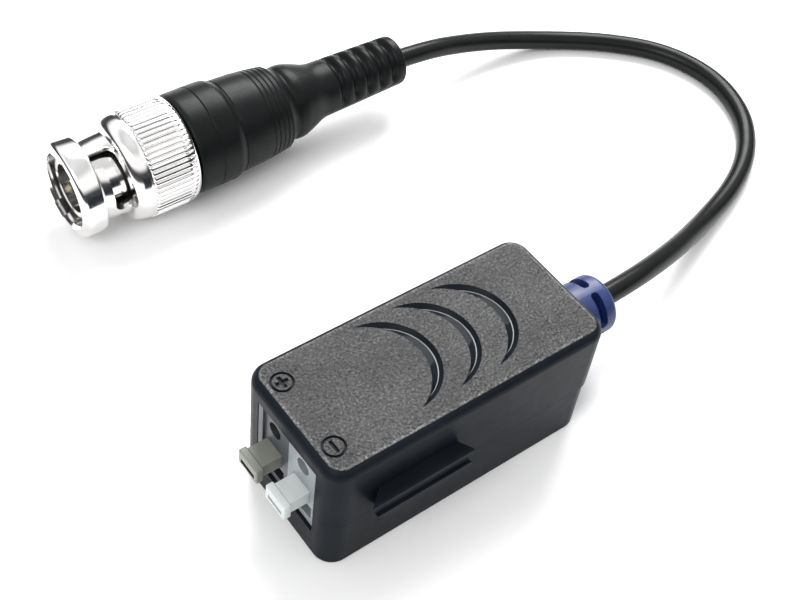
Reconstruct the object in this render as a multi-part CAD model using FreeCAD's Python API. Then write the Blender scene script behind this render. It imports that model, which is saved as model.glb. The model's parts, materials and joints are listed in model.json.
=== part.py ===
import FreeCAD, Part
import math
import os

# Video balun on a pigtail: a small two-shell housing with a two-pole push
# terminal at one end, and at the other a strain relief, a thin coaxial cable
# and a bayonet plug that lies beside the housing.
# Millimetres. +X points from the terminals to the cable, +Z up, and the
# origin is the middle of the housing's base.

V = FreeCAD.Vector

# Housing
body_length = 37.6
body_width = 17.0
body_height = 17.4
wall = 1.4
seam_height = 7.6
corner_radius = 2.4
inner_corner_radius = 1.0
top_edge_radius = 1.3
base_edge_radius = 0.3
rear_step = 0.35
rear_taper_height = 2.2
lip_height = 1.1
lip_thickness = 0.7
lip_root = 0.8
lip_clearance = 0.08
cut_margin = 1.0

# Crescent grooves and polarity marks on the lid
crescent_count = 3
crescent_first_x = 12.9
crescent_pitch = 5.25
crescent_y = 0.5
crescent_half_span = 6.3
crescent_outer_bulge = 6.1
crescent_inner_bulge = 4.4
crescent_floor_bulge = 5.7
crescent_floor_width = 0.15
crescent_floor_span = 5.6
crescent_depth = 0.5
crescent_overcut = 0.01
mark_inset = 2.5
mark_outset = 2.12
mark_outer_radius = 1.35
mark_inner_radius = 1.05
mark_arm = 0.78
mark_stroke = 0.42
mark_depth = 0.25

# Coupling rail on the side of the upper shell
rail_root_start = 6.0
rail_root_end = 16.5
rail_start = 3.9
rail_end = 17.5
rail_out = 1.8
rail_height = 4.0
rail_gap_above_seam = 0.15
rail_bevel_length = 2.7
rail_bevel_height = 2.4
rail_recess_bottom = 1.6
rail_recess_top = 3.6
rail_recess_depth = 0.35
rail_edge_radius = 0.2
rail_foot_height = 0.7
rail_foot_step = 0.25

# Board and what holds it
board_thickness = 1.0
board_lift = 1.6
board_gap = 0.3
board_half_width = 6.1
board_rib_y = 5.0
board_rib_width = 1.2
post_radius = 0.8
post_inset = 5.2
post_y = 5.2
post_gap = 0.1
pin_hole_clearance = 0.15

# Push terminal, one pole
pole_width = 5.3
pole_headroom = 1.1
pole_depth = 12.0
face_recess = 0.4
opening_clearance = 0.1
end_rib_width = 0.8
end_rib_out = 0.35
test_hole_radius = 1.05
test_hole_depth = 3.0
test_hole_drop = 2.2
entry_height = 2.0
entry_half_width = 1.95
entry_half_height = 1.05
entry_throat = 0.8
entry_depth = 2.4
chamber_start = 4.0
chamber_back = 1.0
chamber_half_width = 1.95
chamber_floor = 1.0
chamber_top = 7.7

# Lever of one pole
lever_clearance = 0.12
lever_out = 3.4
lever_z = 4.65
head_length = 0.95
head_half_width = 1.8
head_half_height = 1.15
stem_half_width = 1.45
stem_below = 0.9
stem_above = 1.05
foot_length = 0.8
foot_half_width = 1.75
foot_half_height = 1.35
foot_gap = 0.05
head_slot_width = 2.6
head_slot_height = 0.65
head_slot_depth = 0.5
head_slot_drop = 0.35
head_edge_radius = 0.18

# Clamp spring and contact of one pole
spring_thickness = 0.3
spring_half_width = 1.4
spring_gap = 0.07
spring_bend = 0.7
spring_rise = 7.1
spring_toe_height = 2.6
spring_toe_x = 3.2
contact_thickness = 0.4
contact_half_width = 1.4
contact_start = 5.9
pin_x = 9.2
pin_length = 1.0
pin_width = 0.6
pin_below_board = 0.4

# Transformer
core_x = 18.3
core_outer_radius = 4.7
core_inner_radius = 2.3
core_height = 4.4
core_chamfer = 0.4
wire_radius = 0.26
winding_skin = 0.18
winding_turns = 9
winding_pitch_deg = 13.0
winding_angles = {"winding_primary": 90.0, "winding_secondary": -90.0}

# Small parts on the board: x from the front, y, and size
suppressor_x = 27.2
suppressor_y = -3.7
suppressor_radius = 1.6
suppressor_length = 4.6
suppressor_chamfer = 0.3
suppressor_lead_radius = 0.25
suppressor_lead_out = 0.8
chip_places = {
    "input_capacitor": (26.0, 4.0, 3.2, 1.6, 1.3),
    "output_capacitor": (29.6, 3.4, 1.6, 3.2, 1.3),
    "load_resistor": (26.4, 0.4, 2.0, 1.25, 0.6),
}
chip_cap = 0.35
chip_cap_proud = 0.05

# Strain relief
gland_z = 8.4
gland_length = 8.0
gland_radius = 3.75
gland_neck_radius = 2.9
gland_flange_radius = 3.6
gland_flange = 1.1
gland_seat_radius = 4.4
gland_fit = 0.1
gland_core_radius = 2.3
gland_slot_width = 1.15
gland_end_ring = 1.85
gland_slots = 4
gland_slot_deg = 58.0
gland_slot_turn_deg = 48.0
gland_edge_radius = 0.8

# Cable
cable_radius = 1.4
cable_fit = 0.05
lead_radius = 0.45
lead_reach = 1.5
lead_fall = 2.6
signal_lead_place = 2.8
shield_lead_place = 2.4
shield_lead_y = 3.6

# Bayonet plug, measured along its own axis from the rim of the nut
plug_x = -18.95
plug_y = 50.6
nut_length = 16.2
nut_flange_length = 3.2
nut_flange_radius = 6.5
nut_flange_front_radius = 0.9
nut_flange_back_radius = 0.5
nut_barrel_radius = 5.5
nut_shoulder_x = 6.8
nut_shoulder_length = 2.2
nut_shoulder_step = 0.3
nut_land = 0.6
nut_bezel_flat = 0.3
nut_knurl_end = 14.3
nut_knurl_radius = 7.4
nut_rear_radius = 6.7
nut_bore_radius = 4.88
nut_bore_chamfer = 0.35
nut_rear_bore_radius = 5.8
nut_step_x = 8.9
knurl_teeth = 64
knurl_depth = 0.28
knurl_crown_share = 0.6
knurl_band_depth = 1.0
nut_arc_steps = 3
nut_dome_steps = 5
bayonet_slots = 2
bayonet_width = 2.3
bayonet_start_x = 4.45
bayonet_end_x = 5.9
bayonet_sweep_deg = 72.0
bayonet_entry_deg = 201.0
bayonet_entry_depth = 0.75
bayonet_eye_radius = 1.3
bayonet_steps = 7

# Inside the plug
sleeve_start = 1.1
sleeve_radius = 4.05
sleeve_bore_radius = 3.35
sleeve_slits = 4
sleeve_slit_width = 0.3
sleeve_slit_length = 5.0
hub_flange_x = 9.3
hub_flange_length = 1.6
hub_flange_radius = 5.65
hub_radius = 4.3
hub_end = 17.2
hub_bore_radius = 2.35
tail_radius = 1.9
tail_bore_radius = 1.1
insulator_front_x = 6.4
insulator_fit = 0.02
insulator_step = 0.3
core_end_x = 16.4
pin_front_x = 2.4
pin_radius = 0.68
pin_tip = 0.5
pin_crimp_x = 11.0
pin_crimp_radius = 0.95
pin_end_x = 16.3
gasket_length = 0.9
gasket_radius = 4.7
gasket_fit = 0.05
washer_start_gap = 0.04
washer_rise = 0.55
washer_thickness = 0.25
washer_inner_radius = 4.5
washer_outer_radius = 5.4
ring_gap = 0.12
ring_thickness = 0.6
ring_inner_radius = 5.05
ring_outer_radius = 6.1
ring_groove_clearance = 0.05
ring_opening_deg = 40.0
ferrule_start = 17.4
ferrule_length = 6.4
ferrule_radius = 2.6
ferrule_fit = 0.02

# Moulded boot, measured on the same axis: x and radius down the outline
boot_start = 16.5
boot_outline = [
    (0.0, 6.55), (0.5, 6.9), (6.0, 6.9), (6.9, 6.45), (10.4, 6.35), (13.7, 5.95), (15.5, 5.25),
    (16.0, 4.95), (16.6, 5.25), (17.6, 5.25), (19.2, 4.75), (20.9, 4.1), (21.6, 3.9), (35.3, 3.55),
]
boot_tail_radius = 0.8
boot_rib_first = 24.5
boot_rib_pitch = 2.2
boot_ribs = 5
boot_rib_gap = 0.85
boot_rib_depth = 0.7
boot_spine_width = 2.2
boot_spine_deg = -57.7
boot_line_places = [3.2, 6.95]
boot_band_first = 11.5
boot_band_pitch = 0.75
boot_bands = 5
boot_line_half_width = 0.12
boot_line_depth = 0.1
cavity_fit = 0.05

# The cable's way from the housing to the boot, chosen by eye: x from the
# middle of the housing, y, and z
route = [
    (16.2, 0.0, 8.4), (29.7, 0.0, 8.4), (43.0, 2.6, 5.2), (54.0, 6.1, 2.0), (64.0, 9.3, 1.4),
    (71.2, 13.5, 1.4), (76.5, 19.6, 1.4), (78.7, 27.9, 1.4), (76.2, 36.4, 1.4), (69.7, 43.0, 1.4),
    (61.0, 48.5, 1.4), (49.6, 51.3, 3.7), (36.0, 50.6, 7.4), (21.9, 50.6, 7.4),
]
arc_share = 0.45

# Worked out from the sizes above
front_x = -body_length / 2
rear_x = body_length / 2
half_width = body_width / 2
lower_rear_x = rear_x - rear_step
board_bottom = wall + board_lift
board_top = board_bottom + board_thickness
face_x = front_x + face_recess
pole_names = {"plus": pole_width / 2, "minus": -pole_width / 2}
pole_height = body_height - wall - pole_headroom - board_top
test_hole_z = board_top + pole_height - test_hole_drop
chamber_x = face_x + chamber_start
chamber_end = face_x + pole_depth - chamber_back
lever_height = board_top + lever_z
foot_end = chamber_x + foot_gap + foot_length
spring_front = foot_end + spring_gap
contact_top = board_top + chamber_floor + contact_thickness
plug_z = nut_knurl_radius
cable_start_x = route[0][0]
tail_end = ferrule_start + ferrule_length
ring_x = hub_flange_x + hub_flange_length + washer_start_gap + washer_rise + washer_thickness + ring_gap


def box(x0, x1, y0, y1, z0, z1):
    return Part.makeBox(x1 - x0, y1 - y0, z1 - z0, V(x0, y0, z0))


def rod(radius, start, way, length):
    return Part.makeCylinder(radius, length, start, way)


def upright_edges(shape):
    found = []
    for edge in shape.Edges:
        ends = [v.Point for v in edge.Vertexes]
        if len(ends) == 2 and abs(ends[0].x - ends[1].x) + abs(ends[0].y - ends[1].y) < 1e-6:
            found.append(edge)
    return found


def edges_at_height(shape, z):
    return [e for e in shape.Edges if abs(e.BoundBox.ZMin - z) + abs(e.BoundBox.ZMax - z) < 1e-4]


def rounded_block(x0, x1, y0, y1, z0, z1, radius):
    block = box(x0, x1, y0, y1, z0, z1)
    return block.makeFillet(radius, upright_edges(block))


def prism(points, way):
    outline = Part.makePolygon([V(*p) for p in points] + [V(*points[0])])
    return Part.Face(outline).extrude(V(*way))


def turned(outline, x=0.0, y=0.0, z=0.0):
    """Solid of revolution about an axis along X, from (x, radius) points."""
    points = [V(x + px, y, z + pr) for px, pr in outline]
    face = Part.Face(Part.makePolygon(points + [points[0]]))
    return face.revolve(V(x, y, z), V(1, 0, 0), 360)


def on_plug(outline):
    return turned(outline, plug_x, plug_y, plug_z)


def tube_profile(x0, x1, inner, outer):
    return [(x0, inner), (x1, inner), (x1, outer), (x0, outer)]


def ring_edges(shape, x, radius):
    """Full circles about the plug's axis at x from its rim."""
    found = []
    for edge in shape.Edges:
        curve = edge.Curve
        if isinstance(curve, Part.Circle) and abs(curve.Radius - radius) < 1e-4:
            if abs(curve.Center.x - (plug_x + x)) < 1e-4:
                found.append(edge)
    return found


def route_tube(points, radius):
    """Tube along straight runs joined by tangent arcs, and the arcs' radii."""
    places = [V(*p) for p in points]
    edges = []
    radii = []
    last = places[0]
    for before, corner, after in zip(places, places[1:], places[2:]):
        back = before - corner
        ahead = after - corner
        turn = math.pi - back.getAngle(ahead)
        reach = arc_share * min(back.Length, ahead.Length)
        radii.append(reach / math.tan(turn / 2))
        back.normalize()
        ahead.normalize()
        start = corner + back * reach
        end = corner + ahead * reach
        inward = back + ahead
        inward.normalize()
        centre_way = radii[-1] / math.cos(turn / 2)
        middle = corner + inward * (centre_way - radii[-1])
        edges.append(Part.LineSegment(last, start).toShape())
        edges.append(Part.Arc(start, middle, end).toShape())
        last = end
    edges.append(Part.LineSegment(last, places[-1]).toShape())
    path = Part.Wire(edges)
    section = Part.Wire([Part.Circle(places[0], places[1] - places[0], radius).toShape()])
    return path.makePipeShell([section], True, True), path.Length, radii


def gland_way():
    """What the strain relief passes through and seats in, at the rear wall."""
    hole = rod(gland_neck_radius + gland_fit, V(rear_x - 2 * wall, 0, gland_z), V(1, 0, 0), 3 * wall)
    flange_start = rear_x - wall - gland_flange - gland_fit
    pocket = rod(gland_flange_radius + gland_fit, V(flange_start, 0, gland_z), V(1, 0, 0),
                 gland_flange + gland_fit)
    return hole.fuse(pocket)


def gland_seat(z0, z1):
    """Flat round pad on the rear wall, the part of it between two heights."""
    pad = rod(gland_seat_radius, V(rear_x - wall, 0, gland_z), V(1, 0, 0), wall)
    return pad.common(box(rear_x - wall, rear_x, -half_width, half_width, z0, z1))


def terminal_opening():
    half = pole_width + opening_clearance
    return box(front_x - cut_margin, front_x + wall + cut_margin, -half, half,
               board_top - opening_clearance, board_top + pole_height + opening_clearance)


def crescent(tip_x):
    """Lune with a steep outer wall and a floor that rises towards its inside."""
    def lune(z, half_span, outer_bulge, inner_bulge):
        low = V(tip_x, crescent_y - half_span, z)
        high = V(tip_x, crescent_y + half_span, z)
        outer = Part.Arc(low, V(tip_x + outer_bulge, crescent_y, z), high).toShape()
        inner = Part.Arc(high, V(tip_x + inner_bulge, crescent_y, z), low).toShape()
        return Part.Wire([outer, inner])

    top = lune(body_height + crescent_overcut, crescent_half_span, crescent_outer_bulge, crescent_inner_bulge)
    floor = lune(body_height - crescent_depth, crescent_floor_span, crescent_floor_bulge,
                 crescent_floor_bulge - crescent_floor_width)
    return Part.makeLoft([floor, top], True, True)


def polarity_mark(y, plus):
    centre = V(front_x + mark_inset, y, body_height - mark_depth)
    up = V(0, 0, 1)
    mark = rod(mark_outer_radius, centre, up, cut_margin).cut(rod(mark_inner_radius, centre, up, cut_margin))
    half = mark_stroke / 2
    top = body_height + cut_margin
    x, z = centre.x, centre.z
    mark = mark.fuse(box(x - half, x + half, y - mark_arm, y + mark_arm, z, top))
    if plus:
        mark = mark.fuse(box(x - mark_arm, x + mark_arm, y - half, y + half, z, top))
    return mark


def side_rail():
    bottom = seam_height + rail_gap_above_seam
    top = bottom + rail_height
    inside = -half_width + wall / 2
    outside = -half_width - rail_out
    plan = [
        (front_x + rail_root_start, inside, bottom), (front_x + rail_root_start, -half_width, bottom),
        (front_x + rail_start, outside, bottom), (front_x + rail_end, outside, bottom),
        (front_x + rail_root_end, -half_width, bottom), (front_x + rail_root_end, inside, bottom),
    ]
    rail = prism(plan, (0, 0, rail_height))
    start = front_x + rail_start - cut_margin
    bevel = prism([
        (start, outside - cut_margin, bottom - cut_margin),
        (start + cut_margin + rail_bevel_length, outside - cut_margin, bottom - cut_margin),
        (start + cut_margin + rail_bevel_length, outside - cut_margin, bottom),
        (start + cut_margin, outside - cut_margin, bottom + rail_bevel_height),
        (start, outside - cut_margin, bottom + rail_bevel_height),
    ], (0, rail_out + cut_margin, 0))
    recess = box(start, front_x + rail_end + cut_margin, outside - cut_margin, outside + rail_recess_depth,
                 bottom + rail_recess_bottom, bottom + rail_recess_top)
    foot = box(start, front_x + rail_end + cut_margin, outside - cut_margin, outside + rail_foot_step,
               bottom - cut_margin, bottom + rail_foot_height)
    rail = rail.cut(bevel).cut(recess).cut(foot)
    top_edges = [e for e in edges_at_height(rail, top) if abs(e.BoundBox.YMax - outside) < 1e-4]
    return rail.makeFillet(rail_edge_radius, top_edges)


def upper_cavity(inset, z0, z1, radius):
    side = wall + inset
    return rounded_block(front_x + side, rear_x - side, -half_width + side, half_width - side, z0, z1, radius)


def upper_shell():
    shell = rounded_block(front_x, rear_x, -half_width, half_width, seam_height, body_height, corner_radius)
    shell = shell.makeFillet(top_edge_radius, edges_at_height(shell, body_height))
    shell = shell.cut(upper_cavity(0, seam_height - cut_margin, body_height - wall, inner_corner_radius))
    taper = prism([
        (rear_x, -body_width, seam_height + rear_taper_height),
        (rear_x + cut_margin, -body_width, seam_height + rear_taper_height),
        (rear_x + cut_margin, -body_width, seam_height - cut_margin),
        (rear_x - rear_step, -body_width, seam_height - cut_margin),
        (rear_x - rear_step, -body_width, seam_height),
    ], (0, 2 * body_width, 0))
    shell = shell.cut(taper).fuse(gland_seat(seam_height, body_height))
    shell = shell.fuse(side_rail())
    for side in (-1, 1):
        post = rod(post_radius, V(rear_x - post_inset, side * post_y, board_top + post_gap), V(0, 0, 1),
                   body_height - wall / 2 - board_top - post_gap)
        shell = shell.fuse(post)
    shell = shell.cut(terminal_opening()).cut(gland_way())
    for index in range(crescent_count):
        shell = shell.cut(crescent(front_x + crescent_first_x + index * crescent_pitch))
    shell = shell.cut(polarity_mark(pole_names["plus"] + mark_outset, True))
    shell = shell.cut(polarity_mark(pole_names["minus"] - mark_outset, False))
    return shell.removeSplitter()


def lower_shell():
    shell = rounded_block(front_x, lower_rear_x, -half_width, half_width, 0, seam_height, corner_radius)
    shell = shell.makeFillet(base_edge_radius, edges_at_height(shell, 0))
    cavity = rounded_block(front_x + wall, lower_rear_x - wall, -half_width + wall, half_width - wall,
                           wall, seam_height + cut_margin, inner_corner_radius)
    shell = shell.cut(cavity)
    lip_top = seam_height + lip_height
    lip = upper_cavity(0, seam_height - lip_root, seam_height, inner_corner_radius)
    lip = lip.fuse(upper_cavity(lip_clearance, seam_height, lip_top, inner_corner_radius))
    lip = lip.cut(upper_cavity(lip_clearance + lip_thickness, 0, body_height, inner_corner_radius / 2))
    shell = shell.fuse(lip).fuse(gland_seat(0, seam_height))
    for side in (-1, 1):
        rib = box(front_x + wall, lower_rear_x - wall, side * board_rib_y - board_rib_width / 2,
                  side * board_rib_y + board_rib_width / 2, wall / 2, board_bottom)
        shell = shell.fuse(rib)
    opening = terminal_opening()
    return shell.cut(opening).cut(gland_way()).removeSplitter()


def circuit_board():
    board = box(front_x + wall + board_gap, lower_rear_x - wall - board_gap, -board_half_width,
                board_half_width, board_bottom, board_top)
    for y in pole_names.values():
        hole = rod(math.hypot(pin_length, pin_width) / 2 + pin_hole_clearance,
                   V(face_x + pin_x, y, 0), V(0, 0, 1), body_height)
        board = board.cut(hole)
    return board


def terminal_housing(name):
    """One pole: test hole, lever way, wire entry and the chamber behind them."""
    y = pole_names[name]
    side = math.copysign(1, y)
    inner, outer = sorted((0.0, side * pole_width))
    block = box(face_x, face_x + pole_depth, inner, outer, board_top, board_top + pole_height)
    if name == "plus":
        block = block.fuse(box(face_x - end_rib_out, face_x + wall, outer - end_rib_width, outer,
                               board_top, board_top + pole_height))
    hole = rod(test_hole_radius, V(face_x, y, test_hole_z), V(1, 0, 0), test_hole_depth)
    way = box(face_x - cut_margin, chamber_x, y - stem_half_width - lever_clearance,
              y + stem_half_width + lever_clearance, lever_height - stem_below - lever_clearance,
              lever_height + stem_above + lever_clearance)
    chamber = box(chamber_x, chamber_end, y - chamber_half_width, y + chamber_half_width,
                  board_top + chamber_floor, board_top + chamber_top)
    entry_z = board_top + entry_height

    def entry_outline(x, half_y, half_z):
        return Part.makePolygon([
            V(x, y - half_y, entry_z - half_z), V(x, y + half_y, entry_z - half_z),
            V(x, y + half_y, entry_z + half_z), V(x, y - half_y, entry_z + half_z),
            V(x, y - half_y, entry_z - half_z),
        ])

    funnel = Part.makeLoft([
        entry_outline(face_x, entry_half_width, entry_half_height),
        entry_outline(face_x + entry_depth, entry_throat, entry_throat),
    ], True, True)
    throat = rod(entry_throat, V(face_x + entry_depth / 2, y, entry_z), V(1, 0, 0), chamber_start)
    pin_way = box(face_x + pin_x - pin_length / 2 - lever_clearance, face_x + pin_x + pin_length / 2
                  + lever_clearance, y - pin_width / 2 - lever_clearance, y + pin_width / 2 + lever_clearance,
                  board_top - cut_margin, board_top + chamber_floor + cut_margin)
    for cutter in (hole, way, chamber, funnel, throat, pin_way):
        block = block.cut(cutter)
    return block.removeSplitter()


def lever(name):
    """T-shaped head, stem through the housing, and a foot that stops it."""
    y = pole_names[name]
    head_x = face_x - lever_out
    head = box(head_x, head_x + head_length, y - head_half_width, y + head_half_width,
               lever_height - head_half_height, lever_height + head_half_height)
    head = head.makeFillet(head_edge_radius, head.Edges)
    slot_z = lever_height - head_slot_drop
    slot = box(head_x - cut_margin, head_x + head_slot_depth, y - head_slot_width / 2,
               y + head_slot_width / 2, slot_z - head_slot_height / 2, slot_z + head_slot_height / 2)
    head = head.cut(slot)
    stem = box(head_x + head_length / 2 + head_slot_depth / 2, foot_end, y - stem_half_width,
               y + stem_half_width, lever_height - stem_below, lever_height + stem_above)
    foot = box(foot_end - foot_length, foot_end, y - foot_half_width, y + foot_half_width,
               lever_height - foot_half_height, lever_height + foot_half_height)
    return head.fuse([stem, foot]).removeSplitter()


def strip(points, thickness, half_width_y, y):
    """Flat strip bent along points in the XZ plane, with rounded bends."""
    places = [V(px, y - half_width_y, pz) for px, pz in points]
    edges = []
    last = places[0]
    for before, corner, after in zip(places, places[1:], places[2:]):
        back = before - corner
        ahead = after - corner
        half_turn = (math.pi - back.getAngle(ahead)) / 2
        back.normalize()
        ahead.normalize()
        reach = spring_bend * math.tan(half_turn)
        start = corner + back * reach
        end = corner + ahead * reach
        inward = back + ahead
        inward.normalize()
        middle = corner + inward * (spring_bend / math.cos(half_turn) - spring_bend)
        edges.append(Part.LineSegment(last, start).toShape())
        edges.append(Part.Arc(start, middle, end).toShape())
        last = end
    edges.append(Part.LineSegment(last, places[-1]).toShape())
    path = Part.Wire(edges)
    way = places[1] - places[0]
    way.normalize()
    across = way.cross(V(0, 1, 0)) * (thickness / 2)
    depth = V(0, 2 * half_width_y, 0)
    first = places[0]
    section = Part.makePolygon([
        first - across, first + across, first + across + depth, first - across + depth, first - across,
    ])
    return path.makePipeShell([section], True, True)


def clamp_spring(name):
    back = chamber_end - spring_thickness
    left = spring_front + spring_thickness / 2
    rise = board_top + spring_rise
    toe = board_top + spring_toe_height
    points = [
        (back, contact_top), (back, rise), (left, rise), (left, toe),
        (left + spring_toe_x, contact_top + spring_thickness),
    ]
    return strip(points, spring_thickness, spring_half_width, pole_names[name])


def contact_bar(name):
    y = pole_names[name]
    bar = box(face_x + contact_start, chamber_end, y - contact_half_width, y + contact_half_width,
              contact_top - contact_thickness, contact_top)
    pin = box(face_x + pin_x - pin_length / 2, face_x + pin_x + pin_length / 2, y - pin_width / 2,
              y + pin_width / 2, board_bottom - pin_below_board, contact_top)
    return bar.fuse(pin).removeSplitter()


def core_bottom():
    return board_top + 2 * wire_radius


def ferrite_core():
    low = core_bottom()
    ring = Part.makeCylinder(core_outer_radius, core_height, V(front_x + core_x, 0, low))
    ring = ring.cut(Part.makeCylinder(core_inner_radius, core_height, V(front_x + core_x, 0, low)))
    circles = [e for e in ring.Edges if isinstance(e.Curve, Part.Circle)]
    return ring.makeChamfer(core_chamfer, circles)


def winding(name):
    """Turns of wire side by side round the core, joined by a thin skin."""
    centre = V(front_x + core_x, 0, 0)
    low = core_bottom()
    high = low + core_height
    middle_deg = winding_angles[name]
    spread = winding_pitch_deg * (winding_turns - 1)
    first = middle_deg - spread / 2
    inner, outer = core_inner_radius, core_outer_radius

    def loop(grow):
        return Part.makePolygon([
            V(inner - grow, 0, low - grow), V(outer + grow, 0, low - grow),
            V(outer + grow, 0, high + grow), V(inner - grow, 0, high + grow),
            V(inner - grow, 0, low - grow),
        ])

    skin = Part.Face(loop(winding_skin)).cut(Part.Face(loop(0)))
    coil = skin.revolve(V(0, 0, 0), V(0, 0, 1), spread)
    coil.rotate(V(0, 0, 0), V(0, 0, 1), first)
    coil.translate(centre)
    for turn in range(winding_turns):
        band = Part.Face(loop(2 * wire_radius)).cut(Part.Face(loop(0)))
        wire = band.extrude(V(0, 2 * wire_radius, 0))
        wire.translate(V(0, -wire_radius, 0))
        wire.rotate(V(0, 0, 0), V(0, 0, 1), first + turn * winding_pitch_deg)
        wire.translate(centre)
        coil = coil.fuse(wire)
    return coil.removeSplitter().cut(ferrite_core())


def surge_suppressor():
    z = board_top + suppressor_radius
    x0 = front_x + suppressor_x - suppressor_length / 2
    x1 = x0 + suppressor_length
    tube = rod(suppressor_radius, V(x0, suppressor_y, z), V(1, 0, 0), suppressor_length)
    rims = [e for e in tube.Edges if isinstance(e.Curve, Part.Circle)]
    shape = tube.makeChamfer(suppressor_chamfer, rims)
    for end, out in ((x0, x0 - suppressor_lead_out), (x1, x1 + suppressor_lead_out)):
        places = [(end, suppressor_y, z), (out, suppressor_y, z), (out, suppressor_y, board_top)]
        shape = shape.fuse(route_tube(places, suppressor_lead_radius)[0])
    return shape


def chip(name):
    x, y, length, width, height = chip_places[name]
    x += front_x
    low = board_top
    body = box(x - length / 2, x + length / 2, y - width / 2, y + width / 2, low + chip_cap_proud,
               low + height - chip_cap_proud)
    along_x = length > width
    for side in (-1, 1):
        if along_x:
            end = x + side * length / 2
            near, far = sorted((end, end - side * chip_cap))
            cap = box(near, far, y - width / 2 - chip_cap_proud, y + width / 2 + chip_cap_proud,
                      low, low + height)
        else:
            end = y + side * width / 2
            near, far = sorted((end, end - side * chip_cap))
            cap = box(x - length / 2 - chip_cap_proud, x + length / 2 + chip_cap_proud, near, far,
                      low, low + height)
        body = body.fuse(cap)
    return body.removeSplitter()


def gland_slot(x, middle_deg):
    """Cutter for a round-ended slot, centred on an angle from the top."""
    centre = V(x, 0, gland_z)
    axis = V(1, 0, 0)
    half = gland_slot_width / 2
    depth = 2 * gland_radius - gland_core_radius
    foot = V(x, 0, gland_z + gland_core_radius)
    section = Part.makePolygon([
        foot + V(-half, 0, 0), foot + V(half, 0, 0), foot + V(half, 0, depth), foot + V(-half, 0, depth),
        foot + V(-half, 0, 0),
    ])
    cutter = Part.Face(section).revolve(centre, axis, gland_slot_deg)
    for end_deg in (0, gland_slot_deg):
        end = rod(half, foot, V(0, 0, 1), depth)
        end.rotate(centre, axis, end_deg)
        cutter = cutter.fuse(end)
    cutter.rotate(centre, axis, middle_deg - gland_slot_deg / 2)
    return cutter


def cable_gland():
    """Strain relief: flange inside, neck in the wall, slotted sleeve outside."""
    bore = cable_radius + cable_fit
    inner = -wall - gland_flange
    outline = [
        (inner, bore), (gland_length, bore), (gland_length, gland_radius), (0, gland_radius),
        (0, gland_neck_radius), (-wall, gland_neck_radius), (-wall, gland_flange_radius),
        (inner, gland_flange_radius),
    ]
    gland = turned(outline, rear_x, 0, gland_z)
    rim = []
    for edge in gland.Edges:
        if isinstance(edge.Curve, Part.Circle) and abs(edge.Curve.Radius - gland_radius) < 1e-4:
            if abs(edge.Curve.Center.x - rear_x - gland_length) < 1e-4:
                rim.append(edge)
    gland = gland.makeFillet(gland_edge_radius, rim)
    x = rear_x + gland_length - gland_end_ring - gland_slot_width / 2
    for slot in range(gland_slots):
        gland = gland.cut(gland_slot(x, gland_slot_turn_deg + slot * 360.0 / gland_slots))
    return gland


def board_lead(y, end_x, end_y):
    """Bared conductor from the cable's end down to the board."""
    x = cable_start_x
    low = gland_z - lead_fall
    return route_tube([
        (x, y, gland_z), (x - lead_reach, y, gland_z), (x - end_x, end_y, low), (x - end_x, end_y, board_top),
    ], lead_radius)[0]


def signal_lead():
    return board_lead(0, signal_lead_place, 0)


def shield_lead():
    return board_lead(cable_radius - lead_radius, shield_lead_place, shield_lead_y)


def bayonet_slot(turn):
    """Entry channel inside the flange, then a helical slot to its round end."""
    centre = V(plug_x, plug_y, plug_z)
    axis = V(1, 0, 0)
    half = bayonet_width / 2
    first_x = bayonet_start_x + half
    slot = box(plug_x - cut_margin, plug_x + first_x, plug_y - half, plug_y + half,
               plug_z, plug_z + nut_bore_radius + bayonet_entry_depth)
    for step in range(bayonet_steps + 1):
        share = step / bayonet_steps
        x = plug_x + first_x + share * (bayonet_end_x - first_x)
        radius = bayonet_eye_radius if step == bayonet_steps else half
        hole = rod(radius, V(x, plug_y, plug_z), V(0, 0, 1), nut_flange_radius + cut_margin)
        hole.rotate(centre, axis, share * bayonet_sweep_deg)
        slot = slot.fuse(hole)
    slot.rotate(centre, axis, bayonet_entry_deg + turn)
    return slot


def knurled_band(x0, x1):
    """Ring with straight ribs along the axis: flat crowns and V grooves."""
    step = 2 * math.pi / knurl_teeth
    half_crown = step * knurl_crown_share / 2
    floor_radius = nut_knurl_radius - knurl_depth
    points = []
    for tooth in range(knurl_teeth):
        middle = tooth * step
        corners = (
            (middle - half_crown, nut_knurl_radius), (middle + half_crown, nut_knurl_radius),
            (middle + step / 2, floor_radius),
        )
        for angle, radius in corners:
            points.append((plug_x + x0, plug_y + radius * math.sin(angle), plug_z + radius * math.cos(angle)))
    band = prism(points, (x1 - x0, 0, 0))
    core = rod(nut_knurl_radius - knurl_band_depth, V(plug_x + x0, plug_y, plug_z), V(1, 0, 0), x1 - x0)
    return band.cut(core)


def quarter_turn(x, radius, along, across, steps):
    """Points of a quarter ellipse in a section, from its side to its outermost ring."""
    points = []
    for step in range(steps + 1):
        turn = math.pi / 2 * step / steps
        points.append((x + along * math.cos(turn), radius + across * math.sin(turn)))
    return points


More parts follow.
